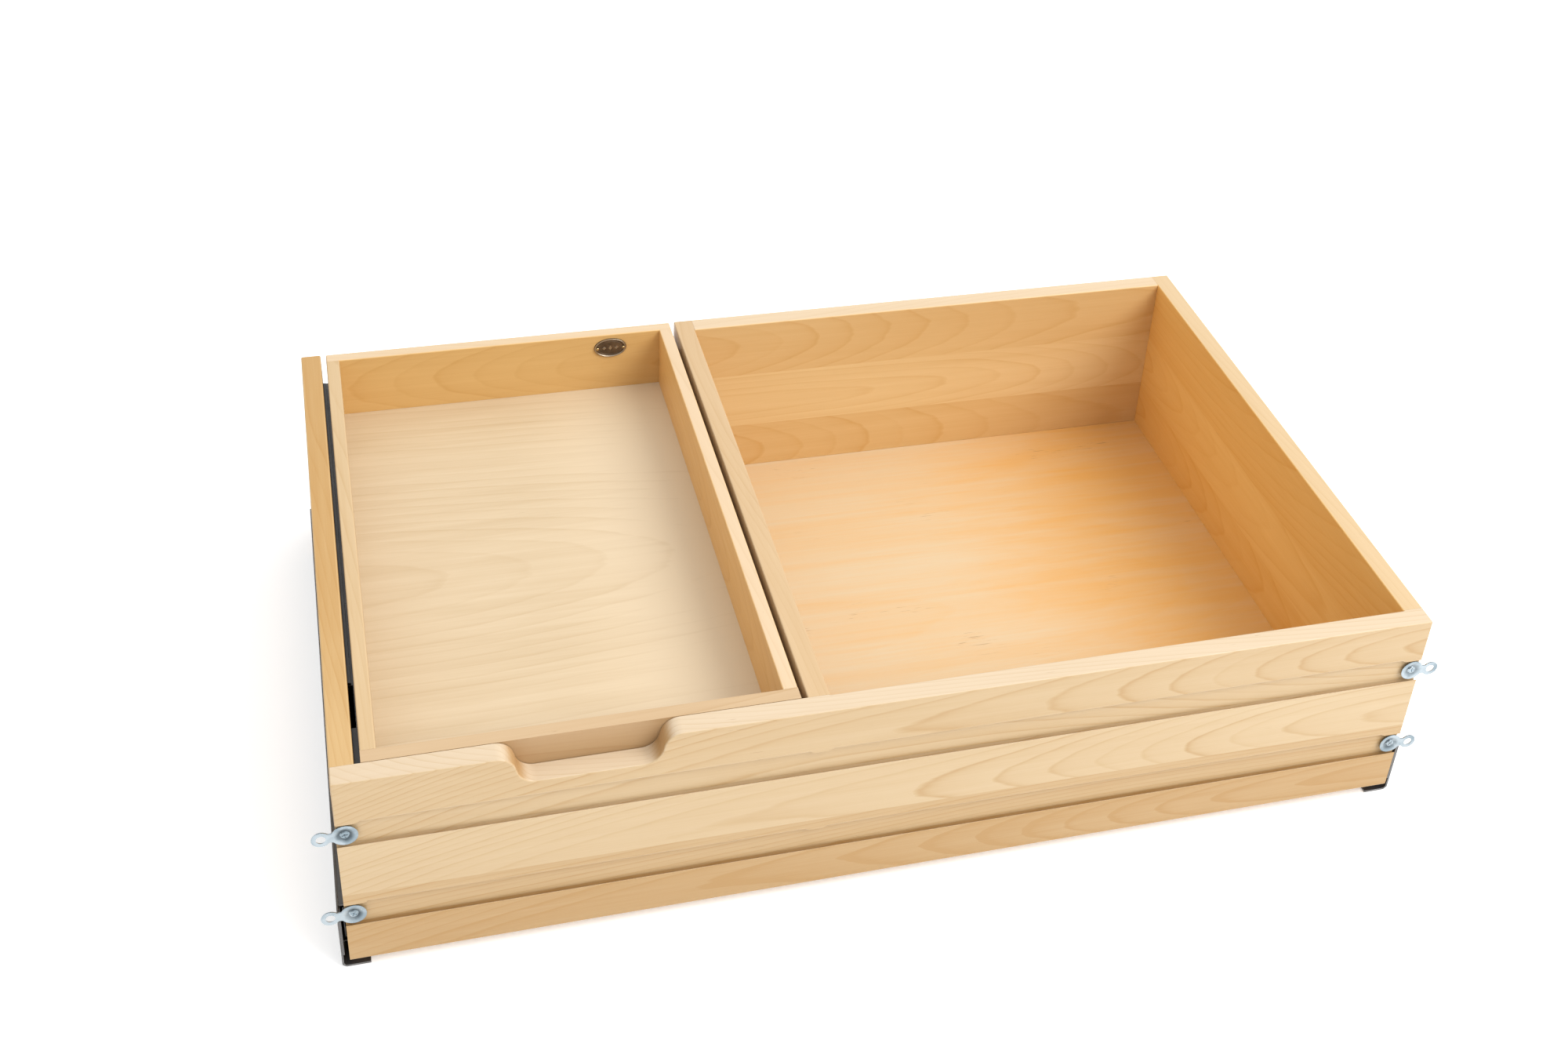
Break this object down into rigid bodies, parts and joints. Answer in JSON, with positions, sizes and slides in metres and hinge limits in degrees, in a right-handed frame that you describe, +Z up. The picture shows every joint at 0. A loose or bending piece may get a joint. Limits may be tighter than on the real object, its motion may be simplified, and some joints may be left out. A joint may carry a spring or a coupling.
{
  "type": "under desk drawer",
  "caption": "Divided wooden drawer for under a desk, with a shallow tray that slides backwards, grooved front panel, finger scoop, swivel clips and ball-bearing slides on floor brackets.",
  "frame": {"origin": "on the floor under the middle of the object's width and depth", "axes": "+X to the right as seen from the front, +Y towards the back, +Z up; the drawer pulls out along -Y and its tray slides back along +Y"},
  "size_m": [0.9296, 0.559, 0.202],
  "materials": {
    "box_maple": "clear satin lacquer on edge-glued maple",
    "tray_maple": "clear satin lacquer on pale maple",
    "black_steel": "glossy black coating on pressed steel",
    "zinc_steel": "bright zinc plate",
    "badge_bronze": "dark antique bronze",
    "badge_brass": "worn brass",
    "bumper_rubber": "matt black rubber"
  },
  "bodies": {
    "cabinet": {"left_cabinet_rail": "black_steel", "left_floor_bracket": "black_steel", "left_rear_bumper": "bumper_rubber", "right_cabinet_rail": "black_steel", "right_floor_bracket": "black_steel", "right_rear_bumper": "bumper_rubber"},
    "drawer": {"back_panel": "box_maple", "bottom_panel": "box_maple", "divider": "box_maple", "front_panel": "box_maple", "left_drawer_rail": "black_steel", "left_fixed_rail": "black_steel", "left_fixed_rail_screw_1": "zinc_steel", "left_fixed_rail_screw_2": "zinc_steel", "left_lower_clip_screw": "zinc_steel", "left_side": "box_maple", "left_slide_screw_1": "zinc_steel", "left_slide_screw_2": "zinc_steel", "left_slide_screw_3": "zinc_steel", "left_upper_clip_screw": "zinc_steel", "low_back_panel": "box_maple", "right_drawer_rail": "black_steel", "right_fixed_rail": "black_steel", "right_fixed_rail_screw_1": "zinc_steel", "right_fixed_rail_screw_2": "zinc_steel", "right_lower_clip_screw": "zinc_steel", "right_side": "box_maple", "right_slide_screw_1": "zinc_steel", "right_slide_screw_2": "zinc_steel", "right_slide_screw_3": "zinc_steel", "right_upper_clip_screw": "zinc_steel"},
    "tray": {"badge_pin_left": "badge_brass", "badge_pin_right": "badge_brass", "badge_plate": "badge_bronze", "left_tray_rail": "black_steel", "left_tray_rail_screw_1": "zinc_steel", "left_tray_rail_screw_2": "zinc_steel", "right_tray_rail": "black_steel", "right_tray_rail_screw_1": "zinc_steel", "right_tray_rail_screw_2": "zinc_steel", "tray_back": "tray_maple", "tray_floor": "tray_maple", "tray_front": "tray_maple", "tray_left_side": "tray_maple", "tray_right_side": "tray_maple"},
    "left_inner_ball_cage_body": {"left_inner_ball_cage": "zinc_steel"},
    "left_lower_clip_body": {"left_lower_clip": "zinc_steel"},
    "left_middle_rail_body": {"left_middle_rail": "black_steel"},
    "left_outer_ball_cage_body": {"left_outer_ball_cage": "zinc_steel"},
    "left_tray_ball_cage_body": {"left_tray_ball_cage": "zinc_steel"},
    "left_tray_latch_body": {"left_tray_latch": "zinc_steel"},
    "left_upper_clip_body": {"left_upper_clip": "zinc_steel"},
    "right_inner_ball_cage_body": {"right_inner_ball_cage": "zinc_steel"},
    "right_lower_clip_body": {"right_lower_clip": "zinc_steel"},
    "right_middle_rail_body": {"right_middle_rail": "black_steel"},
    "right_outer_ball_cage_body": {"right_outer_ball_cage": "zinc_steel"},
    "right_tray_ball_cage_body": {"right_tray_ball_cage": "zinc_steel"},
    "right_tray_latch_body": {"right_tray_latch": "zinc_steel"},
    "right_upper_clip_body": {"right_upper_clip": "zinc_steel"}
  },
  "joints": [
    {"name": "drawer_slide", "type": "slide", "parent": "cabinet", "child": "drawer", "axis": [0, -1, 0], "range_m": [0, 0.5]},
    {"name": "left_middle_rail_slide", "type": "slide", "parent": "cabinet", "child": "left_middle_rail_body", "axis": [0, -1, 0], "range_m": [0, 0.25]},
    {"name": "left_outer_ball_cage_slide", "type": "slide", "parent": "cabinet", "child": "left_outer_ball_cage_body", "axis": [0, -1, 0], "range_m": [0, 0.125]},
    {"name": "left_inner_ball_cage_slide", "type": "slide", "parent": "cabinet", "child": "left_inner_ball_cage_body", "axis": [0, -1, 0], "range_m": [0, 0.375]},
    {"name": "right_middle_rail_slide", "type": "slide", "parent": "cabinet", "child": "right_middle_rail_body", "axis": [0, -1, 0], "range_m": [0, 0.25]},
    {"name": "right_outer_ball_cage_slide", "type": "slide", "parent": "cabinet", "child": "right_outer_ball_cage_body", "axis": [0, -1, 0], "range_m": [0, 0.125]},
    {"name": "right_inner_ball_cage_slide", "type": "slide", "parent": "cabinet", "child": "right_inner_ball_cage_body", "axis": [0, -1, 0], "range_m": [0, 0.375]},
    {"name": "tray_slide", "type": "slide", "parent": "drawer", "child": "tray", "axis": [0, 1, 0], "range_m": [0, 0.3]},
    {"name": "left_tray_cage_slide", "type": "slide", "parent": "drawer", "child": "left_tray_ball_cage_body", "axis": [0, 1, 0], "range_m": [0, 0.15]},
    {"name": "left_tray_latch_hinge", "type": "hinge", "parent": "tray", "child": "left_tray_latch_body", "pos_m": [-0.4269, -0.1875, 0.164], "axis": [1, 0, 0], "range_deg": [0, 6], "stiffness_Nm_per_rad": 0.02},
    {"name": "right_tray_cage_slide", "type": "slide", "parent": "drawer", "child": "right_tray_ball_cage_body", "axis": [0, 1, 0], "range_m": [0, 0.15]},
    {"name": "right_tray_latch_hinge", "type": "hinge", "parent": "tray", "child": "right_tray_latch_body", "pos_m": [-0.0891, -0.1875, 0.164], "axis": [1, 0, 0], "range_deg": [0, 6], "stiffness_Nm_per_rad": 0.02},
    {"name": "left_upper_clip_hinge", "type": "hinge", "parent": "drawer", "child": "left_upper_clip_body", "pos_m": [-0.4404, -0.278, 0.1482], "axis": [0, 1, 0], "range_deg": [-25, 25]},
    {"name": "left_lower_clip_hinge", "type": "hinge", "parent": "drawer", "child": "left_lower_clip_body", "pos_m": [-0.4404, -0.278, 0.0622], "axis": [0, 1, 0], "range_deg": [-25, 25]},
    {"name": "right_upper_clip_hinge", "type": "hinge", "parent": "drawer", "child": "right_upper_clip_body", "pos_m": [0.4404, -0.278, 0.1482], "axis": [0, 1, 0], "range_deg": [-25, 25]},
    {"name": "right_lower_clip_hinge", "type": "hinge", "parent": "drawer", "child": "right_lower_clip_body", "pos_m": [0.4404, -0.278, 0.0622], "axis": [0, 1, 0], "range_deg": [-25, 25]}
  ],
  "couplings": [
    {"joint": "left_middle_rail_slide", "follows": "drawer_slide", "ratio": 0.5},
    {"joint": "left_outer_ball_cage_slide", "follows": "drawer_slide", "ratio": 0.25},
    {"joint": "left_inner_ball_cage_slide", "follows": "drawer_slide", "ratio": 0.75},
    {"joint": "right_middle_rail_slide", "follows": "drawer_slide", "ratio": 0.5},
    {"joint": "right_outer_ball_cage_slide", "follows": "drawer_slide", "ratio": 0.25},
    {"joint": "right_inner_ball_cage_slide", "follows": "drawer_slide", "ratio": 0.75},
    {"joint": "left_tray_cage_slide", "follows": "tray_slide", "ratio": 0.5},
    {"joint": "right_tray_cage_slide", "follows": "tray_slide", "ratio": 0.5}
  ]
}
